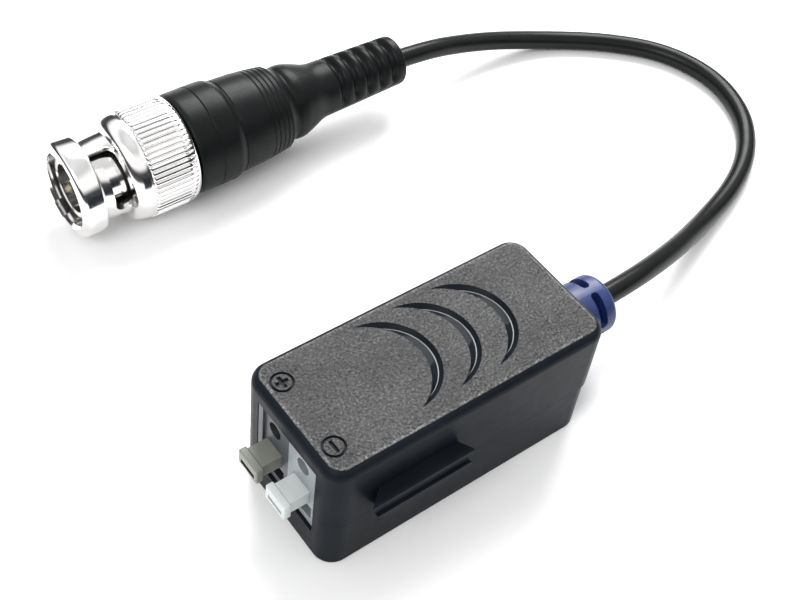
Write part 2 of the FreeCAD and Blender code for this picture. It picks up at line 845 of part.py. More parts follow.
def coupling_nut():
    """Bayonet nut: rolled front flange, slotted barrel, domed shoulder, knurled grip."""
    dome_x = nut_shoulder_x + nut_shoulder_length
    knurl_x = dome_x + nut_land
    under_knurl = nut_knurl_radius - knurl_band_depth / 2
    step_x = nut_shoulder_x + nut_shoulder_step
    step_radius = nut_barrel_radius + nut_shoulder_step
    front = nut_flange_front_radius
    back = nut_flange_back_radius
    dome = quarter_turn(dome_x, step_radius, step_x - dome_x, nut_knurl_radius - step_radius, nut_dome_steps)
    flange_back = quarter_turn(nut_flange_length - back, nut_flange_radius - back, back, back, nut_arc_steps)
    flange_front = quarter_turn(front, nut_flange_radius - front, -front, front, nut_arc_steps)
    inside = [
        (0, nut_bore_radius + nut_bore_chamfer), (nut_bore_chamfer, nut_bore_radius),
        (nut_step_x, nut_bore_radius), (nut_step_x, nut_rear_bore_radius), (nut_length, nut_rear_bore_radius),
    ]
    grip = [
        (nut_length, nut_rear_radius), (nut_knurl_end + nut_bezel_flat, nut_knurl_radius),
        (nut_knurl_end, nut_knurl_radius), (nut_knurl_end, under_knurl), (knurl_x, under_knurl),
        (knurl_x, nut_knurl_radius),
    ]
    barrel = [(nut_shoulder_x, nut_barrel_radius), (nut_flange_length, nut_barrel_radius)]
    nut = on_plug(inside + grip + dome[::-1] + barrel + flange_back + flange_front[::-1])
    nut = nut.fuse(knurled_band(knurl_x, nut_knurl_end))
    groove = on_plug(tube_profile(ring_x - ring_groove_clearance, ring_x + ring_thickness
                                  + ring_groove_clearance, nut_rear_bore_radius - cut_margin,
                                  ring_outer_radius + ring_groove_clearance))
    nut = nut.cut(groove)
    for slot in range(bayonet_slots):
        nut = nut.cut(bayonet_slot(360.0 * slot / bayonet_slots))
    return nut


def plug_body():
    """Outer contact sleeve, hub and tail, turned in one piece."""
    bore = hub_bore_radius + insulator_fit
    body = on_plug([
        (sleeve_start, sleeve_bore_radius), (hub_flange_x, sleeve_bore_radius), (hub_flange_x, bore),
        (hub_end, bore), (hub_end, tail_bore_radius), (tail_end, tail_bore_radius),
        (tail_end, tail_radius), (hub_end, tail_radius), (hub_end, hub_radius),
        (hub_flange_x + hub_flange_length, hub_radius), (hub_flange_x + hub_flange_length, hub_flange_radius),
        (hub_flange_x, hub_flange_radius), (hub_flange_x, sleeve_radius), (sleeve_start, sleeve_radius),
    ])
    centre = V(plug_x, plug_y, plug_z)
    for slit in range(sleeve_slits):
        cutter = box(plug_x + sleeve_start - cut_margin, plug_x + sleeve_start + sleeve_slit_length,
                     plug_y - sleeve_slit_width / 2, plug_y + sleeve_slit_width / 2,
                     plug_z, plug_z + sleeve_radius + cut_margin)
        cutter.rotate(centre, V(1, 0, 0), 360.0 * slit / sleeve_slits)
        body = body.cut(cutter)
    return body


def plug_insulator():
    outer = sleeve_bore_radius - insulator_fit
    bore = pin_radius + insulator_fit
    crimp = pin_crimp_radius + insulator_fit
    return on_plug([
        (insulator_front_x, bore), (pin_crimp_x, bore), (pin_crimp_x, crimp), (core_end_x, crimp),
        (core_end_x, hub_bore_radius), (hub_flange_x - insulator_step, hub_bore_radius),
        (hub_flange_x - insulator_step, outer), (insulator_front_x, outer),
    ])


def centre_pin():
    return on_plug([
        (pin_front_x, 0), (pin_end_x, 0), (pin_end_x, pin_crimp_radius), (pin_crimp_x, pin_crimp_radius),
        (pin_crimp_x, pin_radius), (pin_front_x + pin_tip, pin_radius), (pin_front_x, pin_radius / 2),
    ])


def gasket():
    return on_plug(tube_profile(hub_flange_x - gasket_length, hub_flange_x, sleeve_radius + gasket_fit,
                                gasket_radius))


def spring_washer():
    start = hub_flange_x + hub_flange_length + washer_start_gap
    return on_plug([
        (start, washer_inner_radius), (start + washer_thickness, washer_inner_radius),
        (start + washer_rise + washer_thickness, washer_outer_radius),
        (start + washer_rise, washer_outer_radius),
    ])


def retaining_ring():
    ring = on_plug(tube_profile(ring_x, ring_x + ring_thickness, ring_inner_radius, ring_outer_radius))
    half = math.radians(ring_opening_deg / 2)
    reach = 2 * ring_outer_radius
    gap = prism([
        (plug_x + ring_x - cut_margin, plug_y, plug_z),
        (plug_x + ring_x - cut_margin, plug_y - reach * math.sin(half), plug_z + reach * math.cos(half)),
        (plug_x + ring_x - cut_margin, plug_y + reach * math.sin(half), plug_z + reach * math.cos(half)),
    ], (ring_thickness + 2 * cut_margin, 0, 0))
    return ring.cut(gap)


def crimp_ferrule():
    return on_plug(tube_profile(ferrule_start, ferrule_start + ferrule_length, tail_radius + ferrule_fit,
                                ferrule_radius))


def cable_core():
    """The cable's insulated core, bared inside the boot, up to the pin."""
    length = route[-1][0] - plug_x - core_end_x
    start = V(plug_x + core_end_x, plug_y, plug_z)
    return rod(tail_bore_radius - cable_fit, start, V(1, 0, 0), length)


def boot_radius(x):
    for (xa, ra), (xb, rb) in zip(boot_outline, boot_outline[1:]):
        if xa <= x <= xb:
            return ra + (rb - ra) * (x - xa) / (xb - xa)
    return boot_outline[-1][1]


def lined_boot_outline():
    """The boot's outline with its fine V lines."""
    points = list(boot_outline)
    for x in boot_line_places + [boot_band_first + band * boot_band_pitch for band in range(boot_bands)]:
        low = x - boot_line_half_width
        high = x + boot_line_half_width
        points = [p for p in points if not low <= p[0] <= high]
        points += [(low, boot_radius(low)), (x, boot_radius(x) - boot_line_depth), (high, boot_radius(high))]
    return sorted(points)


def boot_rib_groove(x):
    """Cutter for a groove round the tail, broken by a spine on two opposite sides."""
    low = boot_start + x - boot_rib_gap / 2
    high = low + boot_rib_gap
    reach = 2 * boot_radius(x)
    ring = on_plug(tube_profile(low, high, boot_radius(x) - boot_rib_depth, reach))
    half = boot_spine_width / 2
    spine = box(plug_x + low - cut_margin, plug_x + high + cut_margin, plug_y - half, plug_y + half,
                plug_z - reach, plug_z + reach)
    spine.rotate(V(plug_x, plug_y, plug_z), V(1, 0, 0), boot_spine_deg)
    return ring.cut(spine)


def plug_boot():
    """Moulded sleeve over the plug's tail, ribbed where the cable leaves it."""
    end = boot_outline[-1][0]
    cable_bore = cable_radius + cable_fit
    cable_end = route[-1][0] - plug_x - boot_start
    ferrule_end = tail_end - boot_start + cavity_fit
    hub_depth = hub_end - boot_start + cavity_fit
    inside = [
        (end, cable_bore), (cable_end, cable_bore), (cable_end, tail_bore_radius),
        (ferrule_end, tail_bore_radius), (ferrule_end, ferrule_radius + cavity_fit),
        (hub_depth, ferrule_radius + cavity_fit),
        (hub_depth, hub_radius + cavity_fit), (0, hub_radius + cavity_fit),
    ]
    boot = turned(lined_boot_outline() + inside, plug_x + boot_start, plug_y, plug_z)
    boot = boot.makeFillet(boot_tail_radius, ring_edges(boot, boot_start + end, boot_outline[-1][1]))
    for rib in range(boot_ribs):
        boot = boot.cut(boot_rib_groove(boot_rib_first + rib * boot_rib_pitch))
    return boot


def all_parts():
    cable, length, radii = route_tube(route, cable_radius)
    print("cable length", round(length, 2), "radii", [round(r, 1) for r in radii])
    print("cable volume", round(cable.Volume, 1), "section x length",
          round(math.pi * cable_radius ** 2 * length, 1))
    parts = {
        "upper_shell": upper_shell(),
        "lower_shell": lower_shell(),
        "circuit_board": circuit_board(),
        "ferrite_core": ferrite_core(),
        "surge_suppressor": surge_suppressor(),
        "cable_gland": cable_gland(),
        "cable": cable,
        "signal_lead": signal_lead(),
        "shield_lead": shield_lead(),
        "coupling_nut": coupling_nut(),
        "retaining_ring": retaining_ring(),
        "plug_body": plug_body(),
        "plug_insulator": plug_insulator(),
        "centre_pin": centre_pin(),
        "gasket": gasket(),
        "spring_washer": spring_washer(),
        "crimp_ferrule": crimp_ferrule(),
        "cable_core": cable_core(),
        "plug_boot": plug_boot(),
    }
    for name in pole_names:
        parts["terminal_housing_" + name] = terminal_housing(name)
        parts["lever_" + name] = lever(name)
        parts["clamp_spring_" + name] = clamp_spring(name)
        parts["contact_bar_" + name] = contact_bar(name)
    for name in winding_angles:
        parts[name] = winding(name)
    for name in chip_places:
        parts[name] = chip(name)
    return parts


os.makedirs("parts", exist_ok=True)
for node, shape in all_parts().items():
    solids = shape.Solids
    box_of = shape.BoundBox
    corners = (box_of.XMin, box_of.YMin, box_of.ZMin, box_of.XMax, box_of.YMax, box_of.ZMax)
    print(node, len(solids), "valid" if shape.isValid() else "INVALID", round(shape.Volume, 2),
          [round(v, 2) for v in corners])
    shape.exportStep("parts/" + node + ".step")
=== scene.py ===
import json
import math

import bmesh
import bpy
from mathutils import Matrix, Vector

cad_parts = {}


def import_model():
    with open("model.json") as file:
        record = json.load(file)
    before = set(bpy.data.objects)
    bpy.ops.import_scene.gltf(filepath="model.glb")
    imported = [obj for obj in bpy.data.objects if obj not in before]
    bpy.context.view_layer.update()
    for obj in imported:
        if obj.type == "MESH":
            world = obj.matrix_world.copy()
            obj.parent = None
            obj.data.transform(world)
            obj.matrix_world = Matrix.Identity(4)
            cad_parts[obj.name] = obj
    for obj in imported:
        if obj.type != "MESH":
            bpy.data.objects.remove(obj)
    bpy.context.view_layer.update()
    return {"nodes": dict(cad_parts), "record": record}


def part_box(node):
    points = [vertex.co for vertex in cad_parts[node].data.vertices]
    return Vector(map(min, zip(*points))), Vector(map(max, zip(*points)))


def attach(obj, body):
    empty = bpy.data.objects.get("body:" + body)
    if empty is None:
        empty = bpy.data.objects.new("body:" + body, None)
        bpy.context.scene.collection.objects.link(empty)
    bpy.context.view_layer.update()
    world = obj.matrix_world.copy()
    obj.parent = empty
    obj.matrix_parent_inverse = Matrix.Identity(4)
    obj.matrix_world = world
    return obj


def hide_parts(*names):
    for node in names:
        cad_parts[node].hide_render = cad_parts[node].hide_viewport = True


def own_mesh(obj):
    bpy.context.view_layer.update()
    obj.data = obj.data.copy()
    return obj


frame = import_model()

MM = 0.001
NODES = frame["nodes"]


# Small helpers

def mm(*values):
    return Vector(values) * MM


def box_mm(node):
    low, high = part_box(node)
    return low / MM, high / MM


def new_object(name, data):
    piece = bpy.data.objects.new(name, data)
    bpy.context.scene.collection.objects.link(piece)
    return piece


def new_piece(name, data, body):
    piece = new_object(name, data)
    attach(piece, body)
    return piece


def mesh_mm(name, points, faces):
    """Mesh from points in millimetres."""
    mesh = bpy.data.meshes.new(name)
    mesh.from_pydata([Vector(p) * MM for p in points], [], faces)
    return mesh


def shade(mesh, sharp_deg):
    """Smooth shading, with a sharp edge wherever the surface turns by more than an angle."""
    mesh.shade_smooth()
    mesh.set_sharp_from_angle(angle=math.radians(sharp_deg))


def face_outward(mesh):
    work = bmesh.new()
    work.from_mesh(mesh)
    bmesh.ops.recalc_face_normals(work, faces=work.faces)
    work.to_mesh(mesh)
    work.free()


CORNER_SHARE = 0.45
SMALLEST_CORNER = 1e-4


def rounded_outline(points, steps):
    """Outline of (x, radius, corner), with each corner replaced by a small arc of points."""
    result = []
    count = len(points)
    for i, (x, r, size) in enumerate(points):
        here = Vector((x, r))
        before = Vector(points[i - 1][:2]) - here
        after = Vector(points[(i + 1) % count][:2]) - here
        size = min(size, CORNER_SHARE * before.length, CORNER_SHARE * after.length)
        if size < SMALLEST_CORNER:
            result.append(tuple(here))
            continue
        start = here + before.normalized() * size
        end = here + after.normalized() * size
        for step in range(steps + 1):
            t = step / steps
            p = start * (1 - t) ** 2 + here * 2 * t * (1 - t) + end * t * t
            result.append((p.x, p.y))
    return result


def quarter_turn(x, r, along, across, start_deg, steps):
    """Quarter of an ellipse round (x, r), from an angle counted from the +X side."""
    places = []
    for step in range(steps + 1):
        turn = math.radians(start_deg + 90 * step / steps)
        places.append((x + along * math.cos(turn), r + across * math.sin(turn)))
    return places


LATHE_SHARP_DEG = 35


def lathe(name, outline, origin, segments, closed, radius_of):
    """Ring mesh turned about an axis along X from an outline of (x, radius)."""
    points = []
    faces = []
    rows = len(outline)
    for k in range(segments):
        angle = 2 * math.pi * k / segments
        for x, r in outline:
            rr = radius_of(x, r, angle)
            points.append((origin.x + x, origin.y + rr * math.sin(angle), origin.z + rr * math.cos(angle)))
    span = rows if closed else rows - 1
    for k in range(segments):
        here = k * rows
        there = ((k + 1) % segments) * rows
        for j in range(span):
            nxt = (j + 1) % rows
            faces.append((here + j, here + nxt, there + nxt, there + j))
    mesh = mesh_mm(name, points, faces)
    mesh.validate()
    shade(mesh, LATHE_SHARP_DEG)
    return mesh


MERGE_MM = 0.002
FLAT_DEG = 1.5
ROUNDED_FROM_DEG = 28.0
ROUNDING_STEPS = 3
ROUNDING_PROFILE = 0.5
SOFTENED_SHARP_DEG = 50.0


def softened(node, name, body, width_mm):
    """Copy of a node's solid whose sharp edges are rounded a little."""
    work = bmesh.new()
    work.from_mesh(NODES[node].data)
    bmesh.ops.remove_doubles(work, verts=work.verts, dist=MERGE_MM * MM)
    bmesh.ops.dissolve_limit(work, angle_limit=math.radians(FLAT_DEG), verts=work.verts, edges=work.edges)
    sharp = [e for e in work.edges
             if len(e.link_faces) == 2 and e.calc_face_angle(0) > math.radians(ROUNDED_FROM_DEG)]
    bmesh.ops.bevel(work, geom=sharp, offset=width_mm * MM, offset_type="OFFSET", segments=ROUNDING_STEPS,
                    profile=ROUNDING_PROFILE, affect="EDGES", clamp_overlap=True)
    mesh = bpy.data.meshes.new(name)
    work.to_mesh(mesh)
    work.free()
    shade(mesh, SOFTENED_SHARP_DEG)
    piece = new_piece(name, mesh, body)
    weighted = piece.modifiers.new("weighted", "WEIGHTED_NORMAL")
    weighted.keep_sharp = True
    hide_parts(node)
    return piece


# Parts of a material; the scale of a noise is in features per millimetre

def material(name, color, roughness, metallic=0.0):
    mat = bpy.data.materials.new(name)
    mat.use_nodes = True
    shader = mat.node_tree.nodes["Principled BSDF"]
    shader.inputs["Base Color"].default_value = (*color, 1)
    shader.inputs["Roughness"].default_value = roughness
    shader.inputs["Metallic"].default_value = metallic
    return mat, mat.node_tree, shader


def scaled(color, factor):
    return tuple(min(1, c * factor) for c in color)


def grey(value):
    return (value, value, value)


def noise(tree, scale, detail, roughness=0.5):
    """Noise in object space."""
    place = tree.nodes.new("ShaderNodeTexCoord")
    texture = tree.nodes.new("ShaderNodeTexNoise")
    texture.inputs["Scale"].default_value = scale / MM
    texture.inputs["Detail"].default_value = detail
    texture.inputs["Roughness"].default_value = roughness
    tree.links.new(place.outputs["Object"], texture.inputs["Vector"])
    return texture.outputs["Fac"]


def ramp(tree, value, stops):
    node = tree.nodes.new("ShaderNodeValToRGB")
    node.color_ramp.elements[0].position = stops[0][0]
    node.color_ramp.elements[0].color = (*stops[0][1], 1)
    node.color_ramp.elements[1].position = stops[-1][0]
    node.color_ramp.elements[1].color = (*stops[-1][1], 1)
    for place, color in stops[1:-1]:
        element = node.color_ramp.elements.new(place)
        element.color = (*color, 1)
    tree.links.new(value, node.inputs["Fac"])
    return node.outputs["Color"]


def tint(tree, shader, value, stops):
    tree.links.new(ramp(tree, value, stops), shader.inputs["Base Color"])


def uneven_gloss(tree, shader, value, low, high):
    node = tree.nodes.new("ShaderNodeMapRange")
    node.inputs["To Min"].default_value = low
    node.inputs["To Max"].default_value = high
    tree.links.new(value, node.inputs["Value"])
    tree.links.new(node.outputs["Result"], shader.inputs["Roughness"])


def bump(tree, shader, height, strength, distance_mm):
    node = tree.nodes.new("ShaderNodeBump")
    node.inputs["Strength"].default_value = strength
    node.inputs["Distance"].default_value = distance_mm * MM
    tree.links.new(height, node.inputs["Height"])
    tree.links.new(node.outputs["Normal"], shader.inputs["Normal"])


def multiplied(tree, first, second):
    mix = tree.nodes.new("ShaderNodeMix")
    mix.data_type = "RGBA"
    mix.blend_type = "MULTIPLY"
    mix.clamp_result = False
    mix.inputs[0].default_value = 1.0
    tree.links.new(first, mix.inputs[6])
    tree.links.new(second, mix.inputs[7])
    return mix.outputs[2]


# Materials

def moulded_plastic(name, color, roughness, grain=4.0, depth=0.01, varied=0.08):
    """Satin plastic: faint mottling, uneven gloss and a fine grain."""
    mat, tree, shader = material(name, color, roughness)
    tint(tree, shader, noise(tree, 0.35, 4), [
        (0.3, scaled(color, 1 - varied)), (0.7, scaled(color, 1 + varied))])
    uneven_gloss(tree, shader, noise(tree, 1.2, 3), roughness - 0.06, roughness + 0.08)
    bump(tree, shader, noise(tree, grain, 2), 0.35, depth)
    return mat


def plated_metal(name, color, roughness, fine=6.0, depth=0.002):
    """Plated metal: nearly mirror bright, with faint waviness and rubbing marks."""
    mat, tree, shader = material(name, color, roughness, 1.0)
    tint(tree, shader, noise(tree, 0.4, 3), [(0.35, scaled(color, 0.93)), (0.65, color)])
    uneven_gloss(tree, shader, noise(tree, fine, 4), roughness - 0.05, roughness + 0.07)
    bump(tree, shader, noise(tree, 0.8, 2), 0.3, depth)
    return mat


def side_plastic():
    """Satin near-black plastic of the housing's sides and of the grooves in its lid: a copy of the housing's
    plastic with its tone painted darker than the lid's, as shade.
    """
    mat, tree, shader = material("housing_satin_painted_shade", (0.010, 0.012, 0.015), 0.46)
    shader.inputs["IOR"].default_value = 1.14
    tint(tree, shader, noise(tree, 0.10, 3), [
        (0.3, (0.0062, 0.0086, 0.0120)), (0.7, (0.0110, 0.0140, 0.0185))])
    uneven_gloss(tree, shader, noise(tree, 0.9, 4), 0.30, 0.44)
    bump(tree, shader, noise(tree, 5.0, 2), 0.2, 0.006)
    return mat


def lid_plastic():
    """Spark-eroded texture of the lid: fine lumps that catch the light; its tone is painted lighter than the
    sides' copy of the same plastic, and a painted highlight brightens the faces where it rounds over at its
    edges.
    """
    mat, tree, shader = material("housing_grain_painted_light", (0.075, 0.076, 0.078), 0.38)
    shader.inputs["Specular IOR Level"].default_value = 0.30
    place = tree.nodes.new("ShaderNodeTexCoord")
    split = tree.nodes.new("ShaderNodeSeparateXYZ")
    tree.links.new(place.outputs["Normal"], split.inputs["Vector"])
    speck = ramp(tree, noise(tree, 3.5, 3, 0.6), [
        (0.34, (0.016, 0.016, 0.016)), (0.52, (0.042, 0.042, 0.043)), (0.70, (0.105, 0.105, 0.106))])
    # Painted highlight: the tone is brightened, up to 2.6 times, on faces that tilt a little from flat, where
    # the top rounds over at its edges.
    edge_highlight = ramp(tree, split.outputs["Z"], [(0.90, grey(0.4)), (0.960, grey(2.6)), (0.995, grey(1.0))])
    worn = ramp(tree, noise(tree, 0.16, 2), [(0.35, grey(0.82)), (0.65, grey(1.22))])
    tone = multiplied(tree, multiplied(tree, speck, edge_highlight), worn)
    tree.links.new(tone, shader.inputs["Base Color"])
    uneven_gloss(tree, shader, noise(tree, 0.8, 4), 0.30, 0.44)
    lumps = tree.nodes.new("ShaderNodeTexVoronoi")
    lumps.feature = "SMOOTH_F1"
    lumps.inputs["Scale"].default_value = 2.7 / MM
    lumps.inputs["Smoothness"].default_value = 0.6
    tree.links.new(place.outputs["Object"], lumps.inputs["Vector"])
    height = tree.nodes.new("ShaderNodeMath")
    height.operation = "ADD"
    tree.links.new(lumps.outputs["Distance"], height.inputs[0])
    tree.links.new(noise(tree, 4.2, 3, 0.6), height.inputs[1])
    bump(tree, shader, height.outputs[0], 0.9, 0.17)
    return mat


def rubber_material(name, color, roughness, grain, depth, ior):
    """Satin black jacket or boot, which mirrors little of the pale floor."""
    mat, tree, shader = material(name, color, roughness)
    shader.inputs["IOR"].default_value = ior
    tint(tree, shader, noise(tree, 0.25, 3), [(0.3, color), (0.75, scaled(color, 1.5))])
    uneven_gloss(tree, shader, noise(tree, 0.8, 4), roughness - 0.07, roughness + 0.09)
    bump(tree, shader, noise(tree, grain, 3), 0.4, depth)
    return mat


def nylon_material(name, color, roughness, through):
    """Milky polyamide: light goes a little way in."""
    mat, tree, shader = material(name, color, roughness)
    shader.inputs["Subsurface Weight"].default_value = through
    shader.inputs["Subsurface Radius"].default_value = (1.0, 1.0, 0.9)
    shader.inputs["Subsurface Scale"].default_value = 0.6 * MM
    tint(tree, shader, noise(tree, 0.5, 3), [(0.3, scaled(color, 0.92)), (0.7, color)])
    uneven_gloss(tree, shader, noise(tree, 1.5, 3), roughness - 0.05, roughness + 0.08)
    bump(tree, shader, noise(tree, 3.0, 2), 0.3, 0.01)
    return mat


MATERIALS = {
    # Painted shade: the housing's slot gets the satin copy of its plastic, its tone painted near black.
    "housing": side_plastic(),
    "gland": moulded_plastic("gland_plastic", (0.009, 0.026, 0.118), 0.42, grain=3.0, depth=0.02),
    "cable_jacket": rubber_material("cable_jacket_pvc", (0.0050, 0.0056, 0.0054), 0.30, 2.5, 0.02, ior=1.25),
    "boot": rubber_material("boot_pvc", (0.0042, 0.0050, 0.0052), 0.38, 3.5, 0.03, ior=1.22),
    "nickel": plated_metal("nickel_plate", (0.90, 0.89, 0.88), 0.13, depth=0.006),
    "gold_contact": plated_metal("gold_flash", (0.42, 0.38, 0.28), 0.25),
    "insulator": nylon_material("insulator_polymer", (0.16, 0.16, 0.155), 0.45, through=0.1),
    "silicone": moulded_plastic("gasket_silicone", (0.020, 0.020, 0.021), 0.5),
    "spring_steel": plated_metal("spring_steel", (0.50, 0.50, 0.51), 0.25, fine=9.0),
    "tinned_copper": plated_metal("tinned_copper", (0.66, 0.65, 0.63), 0.28, fine=9.0),
    "winding_wire": plated_metal("enamelled_wire", (0.52, 0.17, 0.07), 0.22, fine=9.0),
    "board": moulded_plastic("board_laminate", (0.02, 0.13, 0.05), 0.35, grain=2.0),
    "ferrite": moulded_plastic("ferrite_ceramic", (0.055, 0.055, 0.060), 0.6, grain=3.0, depth=0.03),
    "suppressor": moulded_plastic("suppressor_ceramic", (0.66, 0.65, 0.60), 0.35, grain=3.0),
    "chip_tan": moulded_plastic("chip_ceramic", (0.46, 0.30, 0.15), 0.4, grain=3.0),
    "chip_dark": moulded_plastic("chip_glaze", (0.02, 0.02, 0.02), 0.3, grain=3.0),
    # Grey polyamide, its tone darkened a little as painted shade.
    "terminal_grey": nylon_material("grey_polyamide", (0.060, 0.068, 0.078), 0.42, through=0.05),
    "terminal_white": nylon_material("milky_polyamide", (0.29, 0.32, 0.345), 0.38, through=0.25),
}
# Painted light: the lid's copy of the housing plastic, its tone painted lighter than the sides'.
LID = lid_plastic()
# Painted highlight: a paler plastic for the flat floors of the crescents, standing for a glossy radius that
# catches the light.
CRESCENT_HIGHLIGHT_LINE = moulded_plastic("crescent_painted_highlight", (0.090, 0.092, 0.092), 0.40, varied=0.2)
# Painted shade: darker tones for the terminals' faces behind their front, seen inside the holes.
POLE_HOLLOW_SHADE = {
    "plus": moulded_plastic("grey_polyamide_hollow_shade", (0.012, 0.013, 0.016), 0.5),
    "minus": moulded_plastic("milky_polyamide_hollow_shade", (0.20, 0.22, 0.225), 0.5),
}
# Painted shade: darker tones for the faces inside the slot across each lever's front.
LEVER_SLOT_SHADE = {
    "plus": moulded_plastic("grey_lever_slot_shade", (0.018, 0.018, 0.018), 0.5),
    "minus": moulded_plastic("white_lever_slot_shade", (0.52, 0.54, 0.55), 0.5),
}
LEVER = {
    "plus": nylon_material("grey_lever_polyamide", (0.200, 0.208, 0.180), 0.40, through=0.08),
    "minus": nylon_material("white_lever_polyamide", (0.60, 0.64, 0.63), 0.36, through=0.30),
}


def dress(piece, *materials):
    piece.data.materials.clear()
    for mat in materials:
        piece.data.materials.append(mat)


for row in frame["record"]["subparts"]:
    dress(NODES[row["node"]], MATERIALS[row["material_slot"]])


# Camera, as the photograph was taken

FOCAL_PX = 1300.0
PHOTO_WIDTH_PX = 800.0
SENSOR_MM = 36.0
NEAREST_MM = 5.0
AZIMUTH = math.radians(-42.98)
ELEVATION = math.radians(49.24)
ROLL = math.radians(8.51)
CAMERA_PLACE = mm(-63.27, -61.60, 126.61)

back = Vector((math.sin(AZIMUTH) * math.cos(ELEVATION), -math.cos(AZIMUTH) * math.cos(ELEVATION),
               math.sin(ELEVATION)))
right = Vector((math.cos(AZIMUTH), math.sin(AZIMUTH), 0))
up = back.cross(right)
rolled_right = right * math.cos(ROLL) + up * math.sin(ROLL)
rolled_up = up * math.cos(ROLL) - right * math.sin(ROLL)
camera_data = bpy.data.cameras.new("camera")
camera_data.sensor_width = SENSOR_MM
camera_data.lens = FOCAL_PX / PHOTO_WIDTH_PX * SENSOR_MM
camera_data.clip_start = NEAREST_MM * MM
camera = new_object("camera", camera_data)
turn = Matrix((rolled_right, rolled_up, back)).transposed().to_4x4()
camera.matrix_world = Matrix.Translation(CAMERA_PLACE) @ turn
bpy.context.scene.camera = camera


# Cable

CABLE_RADIUS = 1.4
CABLE_ROUND_STEPS = 8
CABLE_ALONG_STEPS = 24
ROUTE = [
    (16.2, 0.0, 8.4), (29.7, 0.0, 8.4), (43.0, 2.6, 5.2), (54.0, 6.1, 2.0), (64.0, 9.3, 1.4),
    (71.2, 13.5, 1.4), (76.5, 19.6, 1.4), (78.7, 27.9, 1.4), (76.2, 36.4, 1.4), (69.7, 43.0, 1.4),
    (61.0, 48.5, 1.4), (49.6, 51.3, 3.7), (36.0, 50.6, 7.4), (21.9, 50.6, 7.4),
]


def cable():
    data = bpy.data.curves.new("cable_jacket", "CURVE")
    data.dimensions = "3D"
    data.bevel_depth = CABLE_RADIUS * MM
    data.bevel_resolution = CABLE_ROUND_STEPS
    data.resolution_u = CABLE_ALONG_STEPS
    data.use_fill_caps = True
    spline = data.splines.new("NURBS")
    spline.points.add(len(ROUTE) - 1)
    for point, place in zip(spline.points, ROUTE):
        point.co = (*mm(*place), 1)
    spline.order_u = 3
    spline.use_endpoint_u = True
    data.materials.append(MATERIALS["cable_jacket"])
    piece = new_piece("cable_jacket", data, "housing")
    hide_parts("cable")
    return piece


# Plug: its axis runs along X from the rim of the nut, and x is counted from that rim

NUT_LOW, NUT_HIGH = box_mm("coupling_nut")
PLUG = Vector((NUT_LOW.x, (NUT_LOW.y + NUT_HIGH.y) / 2, (NUT_LOW.z + NUT_HIGH.z) / 2))
NUT_RADIUS = (NUT_HIGH.z - NUT_LOW.z) / 2
NUT_SHARP_DEG = 38
NUT_END = 16.2
BORE_RADIUS = 4.88
BORE_CHAMFER = 0.35
REAR_RADIUS = 5.8
REAR_START = 8.9
REAR_CHAMFER = 0.1
RING_GROOVE = (11.81, 12.51, 6.15)
BARREL_RADIUS = 5.5
BARREL_START = 3.4
BARREL_END = 6.6
DOME_FILLET = (0.15, 0.08)
FLANGE_FILLET = (0.16, 0.06)
FLANGE_FOOT = 0.2
FLANGE_RADIUS = 6.5
FLANGE_END = 3.2
FLANGE_FRONT_ROLL = 0.8
FLANGE_FRONT_STEPS = 7
FLANGE_BACK_ROLL = 0.5
FLANGE_BACK_STEPS = 5
DOME_END = 9.15
DOME_LENGTH = 2.35
DOME_HEIGHT = NUT_RADIUS - 6.0
DOME_STEPS = 12
BEZEL_LENGTH = 1.85
BEZEL_HEIGHT = 0.64
BEZEL_FALL = 0.66
BEZEL_GAP = 0.2
BEZEL_STEPS = 9

KNURL_TEETH = 64
KNURL_STEPS = 10
KNURL_DEPTH = 0.24
KNURL_GROOVE_SHARE = 0.22
KNURL_FLANK = 1.3
KNURL_START = 9.35
KNURL_END = 14.35
KNURL_RUN_OUT = [(0.55, 0.0), (0.30, 0.03), (0.15, 0.10), (0.05, 0.24), (-0.05, 0.26)]
CROWN_FALL = 0.05
CROWN_WIDTH = 1.2

SLOT_ENTRY_DEG = 21.0
SLOT_EYE_DEG = 93.0
SLOT_ENTRY_X = 5.6
SLOT_EYE_X = 5.9
SLOT_HALF = 1.15
SLOT_EYE_RADIUS = 1.3
SLOT_END_STEPS = 16
SLOT_SIDE_STEPS = 13
SLOT_CUT_FROM = 4.5
SLOT_CUT_PAST = 0.6
CHANNEL_CUT_FROM = 4.0
CHANNEL_RADIUS = 5.63
CHANNEL_PAST = 1.0


def knurl_radius(x, r, angle):
    """Straight ribs with rounded crowns, which run out where the outline falls."""
    if r < BARREL_RADIUS + 1.0 or x < KNURL_START - 0.1:
        return r
    phase = (angle * KNURL_TEETH / (2 * math.pi)) % 1.0
    away = abs(phase - 0.5)
    groove = max(0.0, 1 - away / KNURL_GROOVE_SHARE)
    crown = CROWN_FALL * (2 * min(phase, 1 - phase) * CROWN_WIDTH) ** 2
    return min(r, NUT_RADIUS - crown - (KNURL_DEPTH - crown) * min(1.0, groove * KNURL_FLANK))


